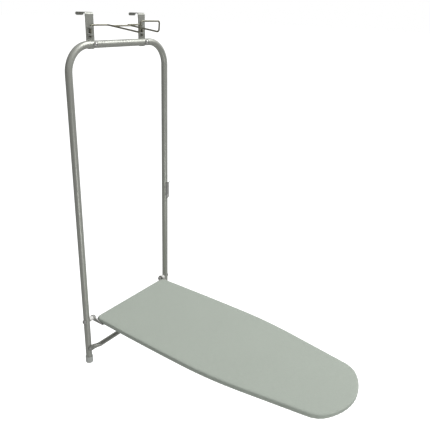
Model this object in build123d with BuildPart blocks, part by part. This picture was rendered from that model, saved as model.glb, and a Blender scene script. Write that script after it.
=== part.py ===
"""Over-the-door ironing board: a tube frame that hangs on two door hooks, a fold-up padded board,
a lift-off wire iron rest, a support strut under the board and a catch that keeps the board up.

Frame: +X to the right when facing the door, +Y into the door, +Z up.  The origin lies on the top
front edge of the door, half way between the two hooks.  Millimetres and degrees throughout.
"""
from build123d import *
from math import hypot
import os

os.makedirs("parts", exist_ok=True)

# ---------------------------------------------------------------- driving dimensions
LEG_SPACING = 406.0        # centre to centre of the frame's two legs
TUBE_D = 21.0              # main frame tube
TUBE_WALL = 1.2
BEND_R = 76.0              # centreline radius of the frame's top bends
HOOK_RISE = 84.0           # door top above the centre of the frame's top tube
PIVOT_DROP = 891.0         # board pivot below the top tube
LEG_TAIL = 165.0           # leg below the board pivot
CROSSBAR_D = 16.0
CROSSBAR_DROP = 107.0      # crossbar below the board pivot
HOOK_X = 107.0             # hook centre from the middle
STRAP_W = 30.0
STRAP_T = 2.0
DOOR_GAP = 38.0            # door thickness that the hooks take
LIP = 7.0                  # hook's lip behind the door
BOARD_LENGTH = 861.0
BOARD_SET_OUT = 11.5       # rear edge of the board in front of the pivot
BOARD_REAR_HALF = 171.7    # half widths of the covered board
BOARD_MID_HALF = 178.0
PAD_T = 4.2
PAD_ROUND = 2.2            # the pad's upper edge
COVER_T = 0.8
SHEET_T = 0.8
RIM_H = 8.0                # depth of the board's steel rim, sheet included
RIM_W = 9.0
HEM_W = 30.0               # cover turned under the rim
WIRE_D = 5.0               # iron rest wire
REST_HALF = 40.0           # iron rest arm from the middle
REST_REACH = 128.0
REST_DROP = 14.0           # arms fall this much towards the front
REST_RISE = 30.0           # upturned front
CATCH_UP = 343.0           # catch rivet above the board pivot
PIVOT_BOLT_D = 8.0
FIT = 0.05                 # radial clearance of a close fit
RUN = 0.1                  # radial clearance of a running fit

# ---------------------------------------------------------------- derived places
TUBE_R = TUBE_D / 2
LEG_X = LEG_SPACING / 2
LEG_Y = -(STRAP_T + TUBE_R)
TOP_Z = -HOOK_RISE
PIVOT_Z = TOP_Z - PIVOT_DROP
FOOT_Z = PIVOT_Z - LEG_TAIL
BAR_R = CROSSBAR_D / 2
BAR_Y = LEG_Y - TUBE_R - BAR_R
BAR_Z = PIVOT_Z - CROSSBAR_DROP
REAR_Y = LEG_Y - BOARD_SET_OUT
RIM_Z = PIVOT_Z - RIM_H
LEG_FRONT = LEG_Y - TUBE_R
SIDES = {"left": -1, "right": 1}


def finish(builder, name):
    """Label a finished piece and write it."""
    builder.part.label = name
    export_step(builder.part, f"parts/{name}.step")


def across(y, z, x=0.0):
    """Plane looking along +X, for what turns or runs sideways; local x is Y, local y is Z."""
    return Plane(origin=(x, y, z), x_dir=(0, 1, 0), z_dir=(1, 0, 0))


def facing(x, y, z):
    """Plane facing the user, normal -Y; local x is X, local y is Z."""
    return Plane(origin=(x, y, z), x_dir=(1, 0, 0), z_dir=(0, -1, 0))


# ---------------------------------------------------------------- frame tube
BOLT_D = 6.0
SCREW_D = 5.0
RIVET_D = 5.0

with BuildPart() as frame_tube:
    with BuildLine(facing(0, LEG_Y, 0)) as frame_path:
        FilletPolyline(
            (-LEG_X, FOOT_Z),
            (-LEG_X, TOP_Z),
            (LEG_X, TOP_Z),
            (LEG_X, FOOT_Z),
            radius=BEND_R,
        )
    with BuildSketch(Plane(origin=(-LEG_X, LEG_Y, FOOT_Z), z_dir=(0, 0, 1))):
        Circle(TUBE_R)
        Circle(TUBE_R - TUBE_WALL, mode=Mode.SUBTRACT)
    sweep()
    for side in SIDES.values():
        with BuildSketch(across(LEG_Y, PIVOT_Z, side * (LEG_X - TUBE_D))):
            Circle(PIVOT_BOLT_D / 2 + FIT)
        extrude(amount=side * 2 * TUBE_D, mode=Mode.SUBTRACT)
        with BuildSketch(facing(side * LEG_X, LEG_Y, BAR_Z)):
            Circle(SCREW_D / 2 + FIT)
        extrude(amount=TUBE_D, mode=Mode.SUBTRACT)
        with BuildSketch(facing(side * HOOK_X, LEG_Y + TUBE_D, TOP_Z)):
            Circle(BOLT_D / 2 + FIT)
        extrude(amount=2 * TUBE_D, mode=Mode.SUBTRACT)
    with BuildSketch(facing(LEG_X, LEG_Y, PIVOT_Z + CATCH_UP)):
        Circle(RIVET_D / 2 + FIT)
    extrude(amount=TUBE_D, mode=Mode.SUBTRACT)
finish(frame_tube, "frame_tube")

# ---------------------------------------------------------------- leg end caps
CAP_R = -LEG_Y             # the cap's back just touches the door
CAP_SLEEVE = 22.0
CAP_END = 3.0

for name, side in SIDES.items():
    with BuildPart() as cap:
        with BuildSketch(Plane((side * LEG_X, LEG_Y, FOOT_Z - CAP_END))):
            Circle(CAP_R)
        extrude(amount=CAP_END + CAP_SLEEVE)
        fillet(cap.edges().group_by(Axis.Z)[0], 2.4)
        fillet(cap.edges().group_by(Axis.Z)[-1], 0.8)
        with BuildSketch(Plane((side * LEG_X, LEG_Y, FOOT_Z))):
            Circle(TUBE_R + FIT)
        extrude(amount=CAP_SLEEVE, mode=Mode.SUBTRACT)
    finish(cap, f"leg_cap_{name}")

# ---------------------------------------------------------------- crossbar with pressed-flat ends
FLAT_T = 3.0
FLAT_H = 21.0
FLAT_ROUND = 1.35          # corner radius of the flattened section
FLAT_X = LEG_X - 13.0      # where the flat end starts
PRESS_X = FLAT_X - 22.0    # where the round tube starts to flatten
FLAT_Y = LEG_FRONT - FLAT_T / 2

with BuildPart() as crossbar:
    with BuildSketch(across(BAR_Y, BAR_Z, -PRESS_X)):
        Circle(BAR_R)
        Circle(BAR_R - TUBE_WALL, mode=Mode.SUBTRACT)
    extrude(amount=2 * PRESS_X)
    for side in SIDES.values():
        with BuildSketch(across(BAR_Y, BAR_Z, side * PRESS_X)):
            Circle(BAR_R)
        with BuildSketch(across(FLAT_Y, BAR_Z, side * FLAT_X)):
            RectangleRounded(FLAT_T, FLAT_H, FLAT_ROUND)
        loft()
        with BuildSketch(facing(side * LEG_X, LEG_FRONT, BAR_Z)):
            Circle(FLAT_H / 2)
            with Locations((-side * (LEG_X - FLAT_X) / 2, 0)):
                Rectangle(LEG_X - FLAT_X, FLAT_H)
        extrude(amount=FLAT_T)
        with BuildSketch(facing(side * LEG_X, LEG_FRONT, BAR_Z)):
            Circle(SCREW_D / 2 + FIT)
        extrude(amount=FLAT_T, mode=Mode.SUBTRACT)
finish(crossbar, "crossbar")


# ---------------------------------------------------------------- fasteners
def dome_screw(shank_d, head_d, head_h, length):
    """Domed head with a shank, made on the active plane: head on its +z side, shank below it."""
    with BuildSketch(mode=Mode.PRIVATE) as section:
        with BuildLine():
            Line((0, -length), (0, head_h))
            ThreePointArc((0, head_h), (head_d * 0.33, head_h * 0.72), (head_d / 2, 0.6))
            Line((head_d / 2, 0.6), (head_d / 2, 0))
            Line((head_d / 2, 0), (shank_d / 2, 0))
            Line((shank_d / 2, 0), (shank_d / 2, -length))
            Line((shank_d / 2, -length), (0, -length))
        make_face()
    return revolve(Plane.XZ * section.sketch, Axis.Z, mode=Mode.PRIVATE)


def cross_recess(width, depth, top):
    """Cross recess for a screwdriver, sunk by its depth from a height of top."""
    bars = Box(width, width / 4, 2 * depth) + Box(width / 4, width, 2 * depth)
    return Pos(0, 0, top) * bars


def nut(across_flats, height, hole_d):
    """Hexagon nut standing on the plane, corners rounded off on its outer face."""
    body = extrude(RegularPolygon(across_flats / 2, 6, major_radius=False), height)
    cone = Pos(0, 0, height / 2) * Cone(across_flats * 0.82, across_flats * 0.545, height)
    return (body & cone) - Pos(0, 0, height / 2) * Cylinder(hole_d / 2, height * 2)


def washer(outer_d, hole_d, thickness):
    """Flat washer standing on the plane."""
    ring = Cylinder(outer_d / 2, thickness) - Cylinder(hole_d / 2, thickness)
    return Pos(0, 0, thickness / 2) * ring


def place(shapes, name):
    """Write one or more like solids as one node."""
    with BuildPart() as group:
        for shape in shapes:
            add(shape)
    finish(group, name)


# hook bolts: washer and domed head on the front of the top tube, screwed into the strap behind it
HOOK_WASHER_T = 1.6
bolt_length = TUBE_D + HOOK_WASHER_T + STRAP_T - 0.2
bolt = dome_screw(BOLT_D, 13.0, 4.2, bolt_length) - cross_recess(6.0, 2.0, 4.2)
seats = [facing(s * HOOK_X, LEG_FRONT - HOOK_WASHER_T, TOP_Z) for s in SIDES.values()]
place([plane * bolt for plane in seats], "hook_bolts")
seats = [facing(s * HOOK_X, LEG_FRONT, TOP_Z) for s in SIDES.values()]
place([plane * washer(17.0, BOLT_D + 2 * FIT, HOOK_WASHER_T) for plane in seats], "hook_washers")

# crossbar screws, driven into the front wall of each leg
screw = dome_screw(SCREW_D, 10.0, 3.0, FLAT_T + 9.0) - cross_recess(4.6, 1.6, 3.0)
seats = [facing(s * LEG_X, LEG_FRONT - FLAT_T, BAR_Z) for s in SIDES.values()]
place([plane * screw for plane in seats], "crossbar_screws")

# ---------------------------------------------------------------- door hooks
HOOK_BEND = 4.0            # inner bend radius
STRAP_END = TOP_Z - TUBE_R - 3.0
BRIDGE_Z = (-38.0, -58.0)  # lanced bridges that hold the iron rest's prongs
BRIDGE_H = 6.0
BRIDGE_OUT = 5.6           # room behind a bridge
BRIDGE_HALF_IN = 8.4       # half width of the tunnel at the strap, then at its front
BRIDGE_HALF_OUT = 4.4
BRIDGE_FOOT = 2.6          # metal beside the tunnel at the strap, then at its front
BRIDGE_SHOULDER = 1.4


bridge_foot = BRIDGE_HALF_IN + BRIDGE_FOOT
bridge_shoulder = BRIDGE_HALF_OUT + BRIDGE_SHOULDER


def bridge_outline(half_in, half_out, out):
    """Half tunnel outline in plan, standing out from the strap's front face."""
    front_y = -STRAP_T
    Polyline(
        (-half_in, front_y),
        (-half_out, front_y - out),
        (half_out, front_y - out),
        (half_in, front_y),
        close=True,
    )


for name, side in SIDES.items():
    with BuildPart() as hook:
        with BuildSketch(across(0, 0, side * HOOK_X - STRAP_W / 2)):
            with BuildLine() as hook_line:
                FilletPolyline(
                    (-STRAP_T / 2, STRAP_END),
                    (-STRAP_T / 2, STRAP_T / 2),
                    (DOOR_GAP + STRAP_T / 2, STRAP_T / 2),
                    (DOOR_GAP + STRAP_T / 2, -LIP),
                    radius=HOOK_BEND + STRAP_T / 2,
                )
            trace(hook_line.line, line_width=STRAP_T)
        extrude(amount=STRAP_W)
        ends = hook.edges().filter_by(Axis.Y)
        fillet(ends.group_by(Axis.Z)[0], 6.0)
        fillet(hook.edges().filter_by(Axis.Y).group_by(Axis.Y)[-1], 6.0)
        for z in BRIDGE_Z:
            with BuildSketch(facing(side * HOOK_X, STRAP_T, z)):
                Rectangle(2 * BRIDGE_HALF_IN, BRIDGE_H)
            extrude(amount=2 * STRAP_T, mode=Mode.SUBTRACT)
            with BuildSketch(Plane((side * HOOK_X, 0, z - BRIDGE_H / 2))):
                with BuildLine():
                    bridge_outline(bridge_foot, bridge_shoulder, BRIDGE_OUT + STRAP_T)
                make_face()
                with BuildLine():
                    bridge_outline(BRIDGE_HALF_IN, BRIDGE_HALF_OUT, BRIDGE_OUT)
                make_face(mode=Mode.SUBTRACT)
            extrude(amount=BRIDGE_H)
        with BuildSketch(facing(side * HOOK_X, STRAP_T, TOP_Z)):
            Circle(BOLT_D / 2 + FIT)
        extrude(amount=3 * STRAP_T, mode=Mode.SUBTRACT)
    finish(hook, f"door_hook_{name}")

# ---------------------------------------------------------------- iron rest
WIRE_R = WIRE_D / 2
WIRE_Y = -STRAP_T - BRIDGE_OUT / 2
WIRE_Z = BRIDGE_Z[0] + BRIDGE_H / 2 + WIRE_R + 0.3
PRONG_END = BRIDGE_Z[1] - 8.0
REST_FRONT_Y = WIRE_Y - REST_REACH
REST_LOW_Z = WIRE_Z - REST_DROP
CROSS_WIRE_OUT = 16.0      # rear cross wire in front of the strap wire

rest_left = [
    (-HOOK_X, WIRE_Y, PRONG_END),
    (-HOOK_X, WIRE_Y, WIRE_Z),
    (-REST_HALF, WIRE_Y, WIRE_Z),
    (-REST_HALF, REST_FRONT_Y, REST_LOW_Z),
    (-REST_HALF, REST_FRONT_Y - 3.0, REST_LOW_Z + REST_RISE),
]
rest_right = [(-x, y, z) for x, y, z in reversed(rest_left)]

with BuildPart() as iron_rest_loop:
    with BuildLine() as rest_path:
        FilletPolyline(*rest_left, *rest_right, radius=1.5 * WIRE_D)
    with BuildSketch(Plane(origin=rest_path.line @ 0, z_dir=rest_path.line % 0)):
        Circle(WIRE_R)
    sweep()
finish(iron_rest_loop, "iron_rest_loop")

arm_z = WIRE_Z - REST_DROP * CROSS_WIRE_OUT / REST_REACH
with BuildPart() as iron_rest_crosswire:
    with BuildSketch(across(WIRE_Y - CROSS_WIRE_OUT, arm_z, -REST_HALF + WIRE_R)):
        Circle(WIRE_R)
    extrude(amount=2 * (REST_HALF - WIRE_R))
finish(iron_rest_crosswire, "iron_rest_crosswire")

# ---------------------------------------------------------------- catch on the right leg
CATCH_STANDOFF = 2.5
CATCH_T = 2.0
CATCH_W = 13.0
CATCH_BELOW = 7.0
CATCH_LENGTH = 52.0        # above the rivet, to the finger tab
CATCH_TAB = 9.0
CATCH_TAB_RISE = 6.0
CATCH_SPACER_D = 11.0
CATCH_Z = PIVOT_Z + CATCH_UP
CATCH_Y = LEG_FRONT - CATCH_STANDOFF - CATCH_T

with BuildPart() as catch_spacer:
    with BuildSketch(facing(LEG_X, LEG_FRONT, CATCH_Z)):
        Circle(CATCH_SPACER_D / 2)
        Circle(RIVET_D / 2 + FIT, mode=Mode.SUBTRACT)
    extrude(amount=CATCH_STANDOFF)
finish(catch_spacer, "catch_spacer")

with BuildPart() as catch_lever:
    with BuildSketch(across(0, CATCH_Z, LEG_X - CATCH_W / 2)):
        with BuildLine() as catch_line:
            FilletPolyline(
                (CATCH_Y + CATCH_T / 2, -CATCH_BELOW),
                (CATCH_Y + CATCH_T / 2, CATCH_LENGTH),
                (CATCH_Y + CATCH_T / 2 - CATCH_TAB, CATCH_LENGTH + CATCH_TAB_RISE),
                radius=5.0,
            )
        trace(catch_line.line, line_width=CATCH_T)
    extrude(amount=CATCH_W)
    fillet(catch_lever.edges().filter_by(Axis.Y).group_by(Axis.Z)[0], 6.0)
    with BuildSketch(facing(LEG_X, CATCH_Y + 2 * CATCH_T, CATCH_Z)):
        Circle(RIVET_D / 2 + RUN)
    extrude(amount=4 * CATCH_T, mode=Mode.SUBTRACT)
finish(catch_lever, "catch_lever")

rivet = dome_screw(RIVET_D, 10.0, 2.6, CATCH_T + CATCH_STANDOFF + RUN + 8.0)
place([facing(LEG_X, CATCH_Y - RUN, CATCH_Z) * rivet], "catch_rivet")

# ---------------------------------------------------------------- ironing board
BELLY_OUT = 380.0          # widest place, out from the rear edge
TAPER = ((162.5, 580.0), (131.5, 780.0))    # half width and distance out, both ends of the taper
SHOULDER = (105.6, 824.0)  # where the nose's tight arc meets its wide one
REAR_CORNER_R = 10.0
METAL_INSET = COVER_T + 0.2
VENT_D = 10.0
VENT_PITCH = 20.0
VENT_MARGIN = 26.0         # plain steel along the edge
RAIL_W = 30.0
RAIL_WALL = 1.2
FLAT_RIVET_D = 4.0
RIVET_TAIL = 2.0           # rivet beyond the metal it joins
RAIL_OUT = {"rear": 37.0, "middle": 235.0, "front": 520.0}   # out from the pivot
REAR_RIVETS = [(-140, 0), (-112, 0), (112, 0), (140, 0)]
MIDDLE_RIVETS = [(-21, -8), (-21, 8), (21, -8), (21, 8)]
RAIL_RIVETS = {"rear": REAR_RIVETS, "middle": MIDDLE_RIVETS, "front": []}


def board_plan(height, inset=0.0):
    """Plan of the board at a height above the pivot, drawn in from the covered edge."""
    with BuildSketch(Plane((0, REAR_Y, PIVOT_Z + height))) as plan:
        with BuildLine() as half:
            belly = (BOARD_MID_HALF, -BELLY_OUT)
            middle = (BOARD_MID_HALF - 1.4, -BELLY_OUT / 2)
            side = ThreePointArc((BOARD_REAR_HALF, 0), middle, belly)
            turn = TangentArc(side @ 1, (TAPER[0][0], -TAPER[0][1]), tangent=side % 1)
            taper = Line(turn @ 1, (TAPER[1][0], -TAPER[1][1]))
            shoulder = TangentArc(taper @ 1, (SHOULDER[0], -SHOULDER[1]), tangent=taper % 1)
            TangentArc(shoulder @ 1, (0, -BOARD_LENGTH), tangent=shoulder % 1)
            mirror(half.line, Plane.YZ)
            Line((-BOARD_REAR_HALF, 0), (BOARD_REAR_HALF, 0))
        make_face()
        fillet(plan.vertices().group_by(Axis.Y)[-1], REAR_CORNER_R)
        if inset:
            offset(amount=-inset)
    return plan.sketch


# steel sheet, vented by staggered rows of holes
vent_area = board_plan(0, VENT_MARGIN).face()
rows = range(1, int(BOARD_LENGTH / VENT_PITCH))
columns = range(-int(BOARD_MID_HALF / VENT_PITCH), int(BOARD_MID_HALF / VENT_PITCH) + 1)
staggered = [(column, row) for row in rows for column in columns if (row + column) % 2 == 0]
spots = [(column * VENT_PITCH, REAR_Y - row * VENT_PITCH) for column, row in staggered]
vents = [(x, y) for x, y in spots if vent_area.is_inside(Vector(x, y, PIVOT_Z))]
with BuildPart() as board_sheet:
    with BuildSketch(Plane((0, 0, PIVOT_Z - SHEET_T))):
        add(board_plan(-PIVOT_Z, METAL_INSET))
        with Locations(*vents):
            Circle(VENT_D / 2, mode=Mode.SUBTRACT)
    extrude(amount=SHEET_T)
finish(board_sheet, "board_sheet")

# rim rolled under the sheet's edge
with BuildPart() as board_rim:
    extrude(board_plan(-RIM_H, METAL_INSET), amount=RIM_H - SHEET_T)
    extrude(board_plan(-RIM_H, METAL_INSET + RIM_W), amount=RIM_H - SHEET_T, mode=Mode.SUBTRACT)
finish(board_rim, "board_rim")

# channel rails across the underside, cut to fit inside the rim
for name, out in RAIL_OUT.items():
    rivet_spots = RAIL_RIVETS[name]
    with BuildPart() as rail:
        with BuildSketch(across(LEG_Y - out, RIM_Z, -BOARD_MID_HALF)):
            with Locations((0, (RIM_H - SHEET_T) / 2)):
                Rectangle(RAIL_W, RIM_H - SHEET_T)
            with Locations((0, (RIM_H - SHEET_T) / 2 + RAIL_WALL)):
                Rectangle(RAIL_W - 2 * RAIL_WALL, RIM_H - SHEET_T, mode=Mode.SUBTRACT)
        extrude(amount=2 * BOARD_MID_HALF)
        extrude(board_plan(-RIM_H, METAL_INSET + RIM_W + FIT), amount=RIM_H, mode=Mode.INTERSECT)
        if rivet_spots:
            with BuildSketch(Plane((0, LEG_Y - out, RIM_Z))):
                with Locations(*rivet_spots):
                    Circle(FLAT_RIVET_D / 2 + FIT)
            extrude(amount=RAIL_WALL, mode=Mode.SUBTRACT)
    finish(rail, f"cross_rail_{name}")

# felt pad
with BuildPart() as pad:
    extrude(board_plan(0, METAL_INSET), amount=PAD_T)
    fillet(pad.edges().group_by(Axis.Z)[-1], PAD_ROUND)
finish(pad, "pad")

# fitted cover: over the pad, down the rim and turned under it, open where the hinge brackets pass
EAR_IN = 175.0             # hinge bracket's ear, from the middle
EAR_T = 2.5
EAR_R = 10.0
FLANGE_T = 2.0
FLANGE_NEAR = 14.0         # hinge bracket's flange, measured out from the pivot
FLANGE_FAR = 50.0
FLANGE_INNER = 98.0
NOTCH_GAP = 2.0            # cover's notch stands this far off the flange
flange_w = FLANGE_FAR - FLANGE_NEAR
flange_y = LEG_Y - (FLANGE_FAR + FLANGE_NEAR) / 2
notch_x = (LEG_X + FLANGE_INNER) / 2 - NOTCH_GAP
cover_bottom = -RIM_H - COVER_T

with BuildPart() as cover_room:
    extrude(board_plan(-RIM_H, COVER_T), amount=PAD_T + RIM_H)
    fillet(cover_room.edges().group_by(Axis.Z)[-1], PAD_ROUND)

with BuildPart() as cover:
    extrude(board_plan(cover_bottom), amount=PAD_T + COVER_T - cover_bottom)
    fillet(cover.edges().group_by(Axis.Z)[-1], PAD_ROUND + COVER_T)
    add(cover_room.part, mode=Mode.SUBTRACT)
    extrude(board_plan(cover_bottom, HEM_W), amount=RIM_H, mode=Mode.SUBTRACT)
    with BuildSketch(Plane((0, flange_y, PIVOT_Z + cover_bottom))):
        with Locations((-notch_x, 0), (notch_x, 0)):
            Rectangle(LEG_X - FLANGE_INNER, flange_w + 2 * NOTCH_GAP)
    extrude(amount=COVER_T + FIT, mode=Mode.SUBTRACT)
finish(cover, "cover")

# ---------------------------------------------------------------- board hinges
SPACER_D = 16.0
NUT_AF = 13.0
NUT_H = 6.5
NUT_WASHER_T = 1.0
BOLT_HEAD_D = 15.0

for name, side in SIDES.items():
    with BuildPart() as bracket:
        with BuildSketch(across(LEG_Y, PIVOT_Z, side * EAR_IN)):
            Circle(EAR_R)
            with Locations((flange_y - LEG_Y, -RIM_H - FLANGE_T / 2)):
                Rectangle(flange_w, FLANGE_T)
            make_hull()
        extrude(amount=side * EAR_T)
        with BuildSketch(Plane((0, flange_y, RIM_Z - FLANGE_T))):
            with Locations((side * (FLANGE_INNER + EAR_IN) / 2, 0)):
                Rectangle(EAR_IN - FLANGE_INNER, flange_w)
        extrude(amount=FLANGE_T)
        fillet(bracket.edges().filter_by(Axis.Z).group_by(SortBy.LENGTH)[0], 1.0)
        with BuildSketch(across(LEG_Y, PIVOT_Z, side * (EAR_IN - EAR_T))):
            Circle(PIVOT_BOLT_D / 2 + RUN)
        extrude(amount=side * 3 * EAR_T, mode=Mode.SUBTRACT)
        with BuildSketch(Plane((0, LEG_Y - RAIL_OUT["rear"], RIM_Z - FLANGE_T))):
            with Locations(*[(x, y) for x, y in REAR_RIVETS if x * side > 0]):
                Circle(FLAT_RIVET_D / 2 + FIT)
        extrude(amount=FLANGE_T, mode=Mode.SUBTRACT)
    finish(bracket, f"hinge_bracket_{name}")

spacer_length = LEG_X - TUBE_R - EAR_IN - EAR_T - RUN
nut_face = EAR_IN - RUN - NUT_WASHER_T
bolt_length = LEG_X + TUBE_R - nut_face + NUT_H + 0.5
pivot_bolt = dome_screw(PIVOT_BOLT_D, BOLT_HEAD_D, 4.6, bolt_length) - cross_recess(6.5, 2.2, 4.6)
pivot_hole = PIVOT_BOLT_D + 2 * FIT


def outward(side, x, y, z):
    """Plane at x on one side, its normal pointing away from the middle."""
    return Plane(origin=(side * x, y, z), x_dir=(0, 1, 0), z_dir=(side, 0, 0))


def downward(x, y, z):
    """Plane whose normal points down."""
    return Plane(origin=(x, y, z), x_dir=(1, 0, 0), z_dir=(0, 0, -1))


def at_pivots(shape, x):
    """Copies of a shape on both pivots, its +z pointing away from the middle."""
    return [outward(s, x, LEG_Y, PIVOT_Z) * shape for s in SIDES.values()]


flat_rivet = dome_screw(FLAT_RIVET_D, 7.6, 1.6, FLANGE_T + RAIL_WALL + RIVET_TAIL)
places = [downward(x, LEG_Y - RAIL_OUT["rear"], RIM_Z - FLANGE_T) for x, _ in REAR_RIVETS]
place([plane * flat_rivet for plane in places], "bracket_rivets")

place(at_pivots(pivot_bolt, LEG_X + TUBE_R), "pivot_bolts")
place(at_pivots(washer(SPACER_D, pivot_hole, spacer_length), LEG_X - TUBE_R - spacer_length), "pivot_spacers")
place(at_pivots(washer(15.0, pivot_hole, NUT_WASHER_T), nut_face), "pivot_washers")
place(at_pivots(nut(NUT_AF, NUT_H, pivot_hole), nut_face - NUT_H), "pivot_nuts")

# ---------------------------------------------------------------- support strut
STRUT_OUT = RAIL_OUT["middle"]
STRUT_DROP = 24.0          # strut's pin below the board pivot
STRUT_D = 14.0
STRUT_PAST = 9.0           # tube beyond the pin
PIN_D = 6.0
CLEVIS_IN = 9.5            # inner face of each cheek from the middle
CLEVIS_T = 2.0
SHOE_GAP = 0.3
SHOE_WALL = 5.7
SHOE_LENGTH = 38.0

rise = (BAR_Z - PIVOT_Z) + STRUT_DROP
run = (LEG_Y - STRUT_OUT) - BAR_Y
strut_length = hypot(run, rise)
# local x runs from the crossbar's centre up along the strut, local y is square to it, upward
strut_plane = Plane(
    origin=(0, BAR_Y, BAR_Z),
    x_dir=(0, run / strut_length, -rise / strut_length),
    z_dir=(-1, 0, 0),
)
tube_start = BAR_R + SHOE_GAP + SHOE_WALL
along_strut = Plane(
    origin=strut_plane.from_local_coords((tube_start, 0, 0)),
    x_dir=(1, 0, 0),
    z_dir=strut_plane.x_dir,
)

with BuildPart() as strut_tube:
    with BuildSketch(along_strut):
        Circle(STRUT_D / 2)
        Circle(STRUT_D / 2 - TUBE_WALL, mode=Mode.SUBTRACT)
    extrude(amount=strut_length + STRUT_PAST - tube_start)
    with BuildSketch(across(LEG_Y - STRUT_OUT, PIVOT_Z - STRUT_DROP, -STRUT_D)):
        Circle(PIN_D / 2 + RUN)
    extrude(amount=2 * STRUT_D, mode=Mode.SUBTRACT)
finish(strut_tube, "strut_tube")

# shoe: sits in front of the crossbar and laps over its top, so that it lifts straight off upward
with BuildPart() as strut_shoe:
    with BuildSketch(strut_plane.offset(-12.0)):
        with Locations((-2.0, -9.0)):
            Rectangle(SHOE_LENGTH, 20.0, align=(Align.MIN, Align.MIN))
        Circle(BAR_R + SHOE_GAP, mode=Mode.SUBTRACT)
        with Locations((-9.0, 0.0)):
            Rectangle(9.0 + BAR_R + SHOE_GAP, 12.0, align=(Align.MIN, Align.MAX), mode=Mode.SUBTRACT)
    extrude(amount=24.0)
    fillet(strut_shoe.edges().filter_by(Axis.X).group_by(Axis.Y)[0], 2.0)
    with BuildSketch(along_strut):
        Circle(STRUT_D / 2 + FIT)
    extrude(amount=SHOE_LENGTH, mode=Mode.SUBTRACT)
finish(strut_shoe, "strut_shoe")

with BuildPart() as strut_clevis:
    for side in SIDES.values():
        with BuildSketch(across(LEG_Y - STRUT_OUT, PIVOT_Z - STRUT_DROP, side * CLEVIS_IN)):
            Circle(8.0)
            with Locations((0, STRUT_DROP - RIM_H - CLEVIS_T / 2)):
                Rectangle(RAIL_W, CLEVIS_T)
            make_hull()
        extrude(amount=side * CLEVIS_T)
    with BuildSketch(Plane((0, LEG_Y - STRUT_OUT, RIM_Z - CLEVIS_T))):
        RectangleRounded(58.0, RAIL_W, 4.0)
        with Locations(*MIDDLE_RIVETS):
            Circle(FLAT_RIVET_D / 2 + FIT, mode=Mode.SUBTRACT)
    extrude(amount=CLEVIS_T)
    with BuildSketch(across(LEG_Y - STRUT_OUT, PIVOT_Z - STRUT_DROP, -2 * CLEVIS_IN)):
        Circle(PIN_D / 2 + FIT)
    extrude(amount=4 * CLEVIS_IN, mode=Mode.SUBTRACT)
finish(strut_clevis, "strut_clevis")

places = [downward(x, LEG_Y - STRUT_OUT + y, RIM_Z - CLEVIS_T) for x, y in MIDDLE_RIVETS]
place([plane * flat_rivet for plane in places], "clevis_rivets")


def on_pin(x):
    """Plane square to the strut's pin at x, normal +X."""
    return across(LEG_Y - STRUT_OUT, PIVOT_Z - STRUT_DROP, x)


pin_side = CLEVIS_IN + CLEVIS_T
pin_end = 2.8
clip_t = 1.0
pin = dome_screw(PIN_D, 10.0, 2.2, 2 * pin_side + pin_end)
clip = washer(11.0, PIN_D + 2 * FIT, clip_t)
strut_washer = washer(12.0, PIN_D + 2 * FIT, CLEVIS_IN - STRUT_D / 2 - 2 * RUN)
place([on_pin(pin_side) * pin], "strut_pin")
place([on_pin(-pin_side - clip_t - RUN) * clip], "strut_clip")
place([on_pin(x) * strut_washer for x in (STRUT_D / 2 + RUN, RUN - CLEVIS_IN)], "strut_washers")
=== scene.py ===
"""Looks for an over-the-door ironing board: cotton cover, felt pad, painted tubes, zinc fittings."""

import math

import bmesh
import bpy
from bpy.props import FloatProperty, FloatVectorProperty, IntProperty, PointerProperty
from mathutils import Matrix, Vector, noise
from mathutils.geometry import convex_hull_2d, delaunay_2d_cdt
from mathutils.kdtree import KDTree


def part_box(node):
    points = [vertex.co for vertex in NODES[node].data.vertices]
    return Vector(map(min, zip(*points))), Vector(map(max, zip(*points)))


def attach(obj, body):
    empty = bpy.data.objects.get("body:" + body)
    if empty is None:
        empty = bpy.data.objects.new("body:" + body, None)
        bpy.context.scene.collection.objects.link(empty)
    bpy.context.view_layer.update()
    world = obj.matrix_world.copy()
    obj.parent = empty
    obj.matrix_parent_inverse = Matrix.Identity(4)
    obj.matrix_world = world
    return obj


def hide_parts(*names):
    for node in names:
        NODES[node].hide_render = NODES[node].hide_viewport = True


bl_info = {
    "name": "Over-the-Door Ironing Board",
    "version": (1, 0, 0),
    "blender": (4, 5, 0),
    "location": "3D View > Sidebar > Ironing Board",
    "description": "Dresses a folding over-the-door ironing board in cloth, felt, paint, zinc and plastic",
    "category": "Object",
}

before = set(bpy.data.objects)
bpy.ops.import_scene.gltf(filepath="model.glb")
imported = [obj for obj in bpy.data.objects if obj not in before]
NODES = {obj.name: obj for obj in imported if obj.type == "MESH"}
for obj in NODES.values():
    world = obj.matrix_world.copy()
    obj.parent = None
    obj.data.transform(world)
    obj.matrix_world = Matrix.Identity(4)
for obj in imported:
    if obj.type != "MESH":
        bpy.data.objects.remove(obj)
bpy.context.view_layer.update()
COVER_LOW, COVER_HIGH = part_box("cover")
PAD_LOW, PAD_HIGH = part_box("pad")
FLANGE_LOW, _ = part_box("hinge_bracket_right")
DOOR_HEIGHT = 2.03
MM = 0.001

# The cover, from its edge to the end of its hem.
TURN = 2.0 * MM                                 # radius where it turns in under the board
SIDE_FOLD, SIDE_PITCH = 0.9 * MM, 17 * MM       # depth and spacing of the folds down its side
GATHER_PITCH, PUCKER_PITCH = 11 * MM, 8.5 * MM  # spacing of the hem's gathers and the casing's puckers
CASING, CASING_ROLL = 9 * MM, 1.1 * MM          # width of the elastic's casing, and how far it stands out
BRACKET_HEM = 4 * MM                            # depth of the hem where a hinge bracket passes
BRACKET_FADE = 4 * MM                           # length over which the hem shrinks to that
SIDE_RING, FIRM_RING = 7, 10                    # rings where its side begins and where it is held firm
STITCH_RING = -7                                # ring that the casing's stitches follow

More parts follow.
